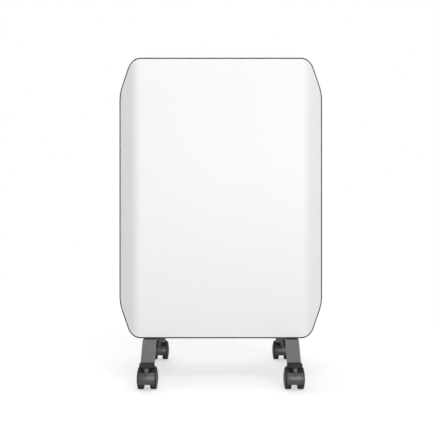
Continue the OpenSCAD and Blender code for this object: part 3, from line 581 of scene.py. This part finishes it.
for level in ("upper", "lower"):
    for side in ("left", "right"):
        bracket = "%s_%s_cover_bracket" % (level, side)
        add_piece(bracket + "_strap", shape_of(bracket, round_off=0.0003), zinc, "radiator",
                  "zinc_steel", bracket)
add_piece("stud_nuts", shape_of("cover_nuts", round_off=0.0003), zinc, "radiator", "zinc_steel",
          "cover_nuts")
studs = []
for x in (-STUD_X, STUD_X):
    for z in STUD_LEVELS:
        for back in (-1, 1):
            studs.append(put(threaded(STUD_R, STUD_PLAIN, STUD_L, STUD_PITCH),
                             (x, BODY_Y + back * STUD_START, z),
                             Matrix.Rotation(radians(-90 * back), 4, "Z")))
add_piece("cover_studs", joined(*studs), zinc, "radiator", "zinc_steel")


# Covers: one sheet of enamelled steel each, its corners cut on a slant and rounded, with a long
# flange bent back on each side.
COVER_W, COVER_H, COVER_MID = 0.392, 0.534, 0.3565
HALF_DEPTH, SHEET_T, SHEET_ROUND = 0.076, 0.0008, 0.00022
FACE_HALF, BEND_R, BEND, BEND_STEPS = 0.152, 0.034, radians(35), 12
CORNER_R, CUT_W, CUT_H, BLEND_R = 0.026, 0.0245, 0.0615, 0.074
CORNER_STEPS, BLEND_STEPS = 24, 14


def outline(grow):
    """Corner points of the cover's outline, grown by some metres, clockwise from the top right."""
    lean = atan2(CUT_W, CUT_H)
    corner = (COVER_W / 2 - CUT_W - CORNER_R * tan((radians(90) - lean) / 2), COVER_H / 2 - CORNER_R)
    blend = (COVER_W / 2 - BLEND_R, COVER_H / 2 - CUT_H - BLEND_R * tan(lean / 2))
    quarter = []
    for centre, radius, start, end, steps in (
            (corner, CORNER_R + grow, radians(90), lean, CORNER_STEPS),
            (blend, BLEND_R + grow, lean, 0.0, BLEND_STEPS)):
        for i in range(steps + 1):
            a = start + (end - start) * i / steps
            quarter.append((centre[0] + radius * cos(a), centre[1] + radius * sin(a)))
    right = quarter + [(x, -z) for x, z in reversed(quarter)]
    return right + [(-x, -z) for x, z in right]


def outline_loop(face, grow):
    """Closed line of edges along the outline, in the plane of the cover's flat face."""
    verts = [face.verts.new((x, 0, COVER_MID + z)) for x, z in outline(grow)]
    return [face.edges.new(pair) for pair in zip(verts, verts[1:] + verts[:1])]


def bent_sheet(face, inset, thickness, rim):
    """Bends a flat face at the flanges, gives it its thickness towards +Y and rounds its rim.

    The sheet starts some metres, its inset, behind the outer side of the cover."""
    radius = BEND_R - inset
    for side in (-1, 1):
        for i in range(BEND_STEPS + 1):
            x = side * (FACE_HALF + radius * sin(BEND * i / BEND_STEPS))
            bmesh.ops.bisect_plane(face, geom=face.verts[:] + face.edges[:] + face.faces[:], dist=1e-6,
                                   plane_co=(x, 0, 0), plane_no=(1, 0, 0))
    for v in face.verts:
        past = max(abs(v.co.x) - FACE_HALF, 0.0)
        bent = min(past, radius * sin(BEND))
        arc = radius - (radius ** 2 - bent ** 2) ** 0.5
        v.co.y = inset - HALF_DEPTH + arc + (past - bent) * tan(BEND)
    bmesh.ops.recalc_face_normals(face, faces=face.faces)
    if sum((f.normal * f.calc_area() for f in face.faces), Vector()).y > 0:
        bmesh.ops.reverse_faces(face, faces=face.faces)
    bmesh.ops.solidify(face, geom=face.faces[:], thickness=thickness)
    return soften(face, rim, angle=50.0, segments=3)


def on_body(piece, turn):
    """Stands a front piece on the body, or turns it into the rear one."""
    bmesh.ops.scale(piece, vec=(1, turn, 1), verts=piece.verts)
    bmesh.ops.translate(piece, vec=(0, BODY_Y, 0), verts=piece.verts)
    bmesh.ops.recalc_face_normals(piece, faces=piece.faces)
    return piece


for cover, turn in (("front_cover", 1), ("rear_cover", -1)):
    flat = bmesh.new()
    bmesh.ops.contextual_create(flat, geom=outline_loop(flat, 0.0))
    add_piece(cover + "_sheet", on_body(bent_sheet(flat, 0.0, SHEET_T, SHEET_ROUND), turn),
              white_enamel, "radiator", "white_enamel", cover)


# Edge trim: a soft matt black strip behind each cover, whose rounded lip shows all round it.
# The cover's sheet hides the rest of it.
TRIM_T, TRIM_LIP, TRIM_COVERED, TRIM_ROUND = 0.0014, 0.0024, 0.005, 0.00045

trim_rubber = Finish("trim_black")
trim_tone = trim_rubber.blend(trim_rubber.noise(20.0), (0.006, 0.006, 0.006, 1),
                              (0.009, 0.009, 0.009, 1))
trim_black = trim_rubber.surface(base_color=trim_tone, roughness=0.62, specular_ior_level=0.25,
                                 normal=trim_rubber.bump(trim_rubber.noise(1100.0), 0.00002))
for trim, turn in (("front_edge_trim", 1), ("rear_edge_trim", -1)):
    strip = bmesh.new()
    borders = outline_loop(strip, TRIM_LIP) + outline_loop(strip, -TRIM_COVERED)
    bmesh.ops.bridge_loops(strip, edges=borders)
    add_piece(trim + "_strip", on_body(bent_sheet(strip, SHEET_T, TRIM_T, TRIM_ROUND), turn),
              trim_black, "radiator", "black_trim", trim)


# Legs: flat steel bars under grey powder coat, bent down to the castors at both ends, with a
# welded saddle under the lower header, held to it by a U-bolt and two wing nuts of black plastic.
LEG_X, LEG_W, LEG_T, LEG_EDGE = 0.1365, 0.0265, 0.0055, 0.002
LEG_TOP, LEG_TIP_Y, LEG_TIP_Z = 0.0855, 0.11294, 0.0461
LEG_BEND_R, LEG_SLOPE, LEG_SLOPE_L, LEG_LEVEL_L = 0.005, radians(48.26), 0.04464, 0.15152
LEG_LAP, EDGE_HIGHLIGHT_X, EDGE_HIGHLIGHT_RATE = 0.0001, 0.0112, 700.0
BEAD_L, BEAD_X, BEAD_RISE, RIPPLE_R, RIPPLE_STEP = 0.058, 0.0067, 0.0003, 0.0017, 0.0016
HEADER_Z, BOLT_R, BOLT_RING_R, BOLT_LOW = 0.132, 0.0025, 0.02453, 0.065
BOLT_STRAIGHT, BOLT_PLAIN, BOLT_PITCH = 0.046, 0.0001, 0.0008

powder = Finish("grey_powder_coat")
speck = powder.noise(1500.0, detail=1.0)
# Painted highlight: the coat is made lighter along both long edges of each bar, where the rounded edges
# would catch the light.
painted_edge_highlight = ((powder.axis("X").size() - LEG_X).size() - EDGE_HIGHLIGHT_X) * EDGE_HIGHLIGHT_RATE
coat_tone = powder.blend(speck, (0.150, 0.152, 0.155, 1), (0.178, 0.180, 0.183, 1))
leg_tone_and_highlight = powder.blend(painted_edge_highlight.least(1.0), coat_tone, (0.215, 0.218, 0.222, 1))
leg_grey_and_highlight = powder.surface(base_color=leg_tone_and_highlight, roughness=0.6, specular_ior_level=0.3,
                          normal=powder.bump(speck, 0.00005))
castor_black = moulding("castor_black", (0.026, 0.026, 0.027), roughness=0.48, grain=800.0,
                        depth=0.00002, gloss=0.18)


def drawn_out(bm, ring, step):
    """Extrudes a ring of edges by a step and gives the new ring."""
    ring = edges_in(bmesh.ops.extrude_edge_only(bm, edges=ring)["geom"])
    bmesh.ops.translate(bm, vec=step, verts=ends_of(ring))
    return ring


def swung(bm, ring, centre, angle, steps):
    """Extrudes a ring of edges in an arc, about the X direction at a centre, and gives the new ring."""
    return edges_in(bmesh.ops.spin(bm, geom=ring + ends_of(ring), cent=centre, axis=(1, 0, 0),
                                   angle=angle, steps=steps)["geom_last"])


def ends_closed(bm):
    bmesh.ops.holes_fill(bm, edges=[e for e in bm.edges if e.is_boundary])
    bmesh.ops.recalc_face_normals(bm, faces=bm.faces)
    return bm


def swept_bar():
    """The bent bar: its rounded section taken along the middle line from the front tip to the rear."""
    bar = bmesh.new()
    section = bmesh.ops.create_grid(bar, x_segments=1, y_segments=1, size=0.5)["verts"]
    bmesh.ops.scale(bar, vec=(LEG_W, LEG_T, 1), verts=section)
    bmesh.ops.bevel(bar, geom=section, offset=LEG_EDGE, offset_type="OFFSET", segments=6, profile=0.5,
                    affect="VERTICES", material=-1, clamp_overlap=True)
    bmesh.ops.delete(bar, geom=bar.faces[:], context="FACES_ONLY")
    put(bar, (0, -LEG_TIP_Y, LEG_TIP_Z), Matrix.Rotation(radians(90), 4, "X"))
    ring, place, heading = bar.edges[:], Vector((0, -LEG_TIP_Y, LEG_TIP_Z)), 0.0
    for turn, run in ((1, LEG_SLOPE_L), (-1, LEG_LEVEL_L), (-1, LEG_SLOPE_L), (1, 0.0)):
        centre = place + Vector((0, -sin(heading), cos(heading))) * LEG_BEND_R * turn
        ring = swung(bar, ring, centre, turn * LEG_SLOPE, steps=8)
        heading += turn * LEG_SLOPE
        place = centre - Vector((0, -sin(heading), cos(heading))) * LEG_BEND_R * turn
        if run:
            step = Vector((0, cos(heading), sin(heading))) * run
            ring = drawn_out(bar, ring, step)
            place = place + step
    return ends_closed(bar)


def cut_off(node, where, keep):
    """The part of a CAD node beyond a plane, on the side that a direction shows, closed again."""
    bm = shape_of(node)
    bmesh.ops.bisect_plane(bm, geom=bm.verts[:] + bm.edges[:] + bm.faces[:], dist=1e-7, plane_co=where,
                           plane_no=keep, clear_inner=True)
    bmesh.ops.triangle_fill(bm, use_beauty=True, use_dissolve=True,
                            edges=[e for e in bm.edges if e.is_boundary])
    bmesh.ops.recalc_face_normals(bm, faces=bm.faces)
    return bm


def weld_bead(length):
    """Row of overlapping weld ripples along Y."""
    ripples = []
    for i in range(int(length / RIPPLE_STEP)):
        ripple = bmesh.new()
        bmesh.ops.create_uvsphere(ripple, u_segments=10, v_segments=6, radius=RIPPLE_R)
        bmesh.ops.scale(ripple, vec=(1.0, 0.75, 0.8), verts=ripple.verts)
        ripples.append(put(ripple, (0, -length / 2 + RIPPLE_STEP * (i + 0.5), 0)))
    return joined(*ripples)


def u_bow(x):
    """The plain part of a U-bolt: up behind the header, over it and down in front."""
    bow = bmesh.new()
    bmesh.ops.create_circle(bow, cap_ends=False, segments=24, radius=BOLT_R)
    put(bow, (x, BODY_Y + BOLT_RING_R, HEADER_Z - BOLT_STRAIGHT))
    ring = drawn_out(bow, bow.edges[:], (0, 0, BOLT_STRAIGHT))
    ring = swung(bow, ring, (x, BODY_Y, HEADER_Z), radians(180), steps=36)
    drawn_out(bow, ring, (0, 0, -BOLT_STRAIGHT))
    return ends_closed(bow)


bolts = []
for side, x in (("left", -LEG_X), ("right", LEG_X)):
    leg = side + "_leg"
    saddle = cut_off(leg, (0, 0, LEG_TOP + LEG_LAP), (0, 0, 1))
    tips = [cut_off(leg, (0, BODY_Y + end * (LEG_TIP_Y + LEG_LAP), 0), (0, end, 0)) for end in (-1, 1)]
    beads = [put(weld_bead(BEAD_L), (x + edge * BEAD_X, BODY_Y, LEG_TOP + BEAD_RISE))
             for edge in (-1, 1)]
    add_piece(leg + "_bar", joined(put(swept_bar(), (x, BODY_Y, 0)), saddle, *tips, *beads), leg_grey_and_highlight,
              "radiator", "grey_leg_paint", leg)
    bolts.append(u_bow(x))
    for end in (-1, 1):
        bolts.append(put(threaded(BOLT_R, BOLT_PLAIN, HEADER_Z - BOLT_STRAIGHT - BOLT_LOW, BOLT_PITCH),
                         (x, BODY_Y + end * BOLT_RING_R, HEADER_Z - BOLT_STRAIGHT),
                         Matrix.Rotation(radians(90), 4, "Y")))
add_piece("u_bolts", joined(*bolts), zinc, "radiator", "zinc_steel", "leg_u_bolts")
paint(zinc, "castor_stems")
add_piece("wing_nuts_black", shape_of("wing_nuts", round_off=0.0003), castor_black, "radiator",
          "castor_plastic", "wing_nuts")


# Castors: moulded end cap, hood with its fender, steel axle and two domed wheels at each corner.
# Each hood is painted near black inside, a painted shade for its recesses, and each wheel has a matt
# tread round its glossier disc.
AXLE_Z, AXLE_YS, WHEEL_R = 0.020, (BODY_Y - 0.112, BODY_Y + 0.144), 0.020
HOOD_SHADE_R, HOOD_SHADE_RATE = 0.0207, 4000.0
TREAD_IN, TREAD_OUT, TREAD_EDGE, TREAD_R, TREAD_UNDER = 0.00625, 0.01725, 0.0016, 0.0174, 0.0010
DISC_STEP, DOME_H, DOME_STEP, DOME_STEPS = 0.0008, 0.0025, 0.0011, 10
HUB_IN, HUB_RISE, HUB_EDGE, BORE_R, BORE_END = 0.00605, 0.0002, 0.0004, 0.00256, 0.01555
CAP_RING = ((0.0063, 0), (0.0061, 0.0003), (0.0056, 0.0003), (0.0054, 0), (0.0036, 0), (0.0018, 0),
            (0.0, 0))

hood = Finish("hood_plastic")
above = hood.axis("Z") - AXLE_Z
aways = [hood.axis("Y") - y for y in AXLE_YS]
radii = [(away * away + above * above) ** 0.5 for away in aways]
# Painted shade: the hood's colour goes near black where it lies within the wheels' radius of either
# axle, standing in for the shade in its recesses.
inside = (HOOD_SHADE_R - radii[0].least(radii[1])) * HOOD_SHADE_RATE
hood_tone = hood.blend(hood.noise(14.0), (0.050, 0.050, 0.052, 1), (0.058, 0.058, 0.060, 1))
hood_skin = hood.noise(800.0)
hood_black_and_shade = hood.surface(base_color=hood.blend(inside.least(1.0), hood_tone, (0.006, 0.006, 0.006, 1)),
                          roughness=0.32 + 0.08 * hood_skin, specular_ior_level=0.75,
                          normal=hood.bump(hood_skin, 0.00001))
disc_black = moulding("disc_black", (0.062, 0.062, 0.064), roughness=0.30, grain=600.0, depth=0.00001)
tread = Finish("tread_black")
grain = tread.noise(500.0)
tread_tone = tread.blend(grain, (0.032, 0.032, 0.032, 1), (0.042, 0.042, 0.042, 1))
tread_black = tread.surface(base_color=tread_tone, roughness=0.72, specular_ior_level=0.25,
                            normal=tread.bump(grain, 0.00003))


def tread_ring():
    """Rubber ring with two rounded edges, its outer side facing +X."""
    edge = [(TREAD_EDGE * (1 - cos(a)), WHEEL_R - TREAD_EDGE * (1 - sin(a)))
            for a in [radians(degrees) for degrees in range(0, 91, 15)]]
    inner = [(TREAD_IN + run, r) for run, r in edge]
    outer = [(TREAD_OUT - run, r) for run, r in reversed(edge)]
    low, step = TREAD_R - TREAD_UNDER, TREAD_OUT - DISC_STEP
    seat = [(TREAD_OUT, TREAD_R), (step, TREAD_R), (step, low)]
    return turned([(TREAD_IN, low)] + inner + outer + seat, steps=72, closed=True)


def domed_disc():
    """Disc with its hub, its outer dome and a fine ring cut round the hub cap.

    CAP_RING gives the radii round the cap and how far each lies below the dome."""
    rim = TREAD_R - DISC_STEP
    radius = ((WHEEL_R - TREAD_EDGE) ** 2 + DOME_H ** 2) / (2 * DOME_H)
    crown = TREAD_OUT + DOME_H - radius
    face = [(rim - DOME_STEP * i, 0) for i in range(DOME_STEPS)]
    dome = [(crown + (radius ** 2 - r ** 2) ** 0.5 - sunk, r) for r, sunk in face + list(CAP_RING)]
    hub = [(BORE_END, 0.0), (BORE_END, BORE_R), (HUB_IN, BORE_R), (HUB_IN, WHEEL_R / 2 - HUB_EDGE),
           (HUB_IN + HUB_RISE, WHEEL_R / 2), (TREAD_IN, WHEEL_R / 2 + HUB_EDGE)]
    return turned(hub + [(TREAD_IN, rim), (TREAD_OUT - DISC_STEP, rim)] + dome, steps=72)


for corner in ("front_left", "front_right", "rear_left", "rear_right"):
    castor = corner + "_castor"
    add_piece(corner + "_end_cap", shape_of(corner + "_leg_cap"), castor_black, "radiator",
              "castor_plastic", corner + "_leg_cap")
    add_piece(corner + "_fender", shape_of(castor + "_hood", round_off=0.0003), hood_black_and_shade, castor,
              "castor_plastic", castor + "_hood")
    paint(zinc, castor + "_axle")
    centre = (LEG_X if "right" in corner else -LEG_X, AXLE_YS["rear" in corner], AXLE_Z)
    for place in ("outer", "inner"):
        wheel, roller = "%s_%s_wheel" % (corner, place), "%s_%s_roller" % (corner, place)
        turn = facing_x(1 if ("right" in corner) == (place == "outer") else -1)
        add_piece(wheel + "_disc", put(domed_disc(), centre, turn), disc_black, roller, "castor_tyre",
                  wheel)
        add_piece(wheel + "_tread", put(tread_ring(), centre, turn), tread_black, roller, "castor_tyre")
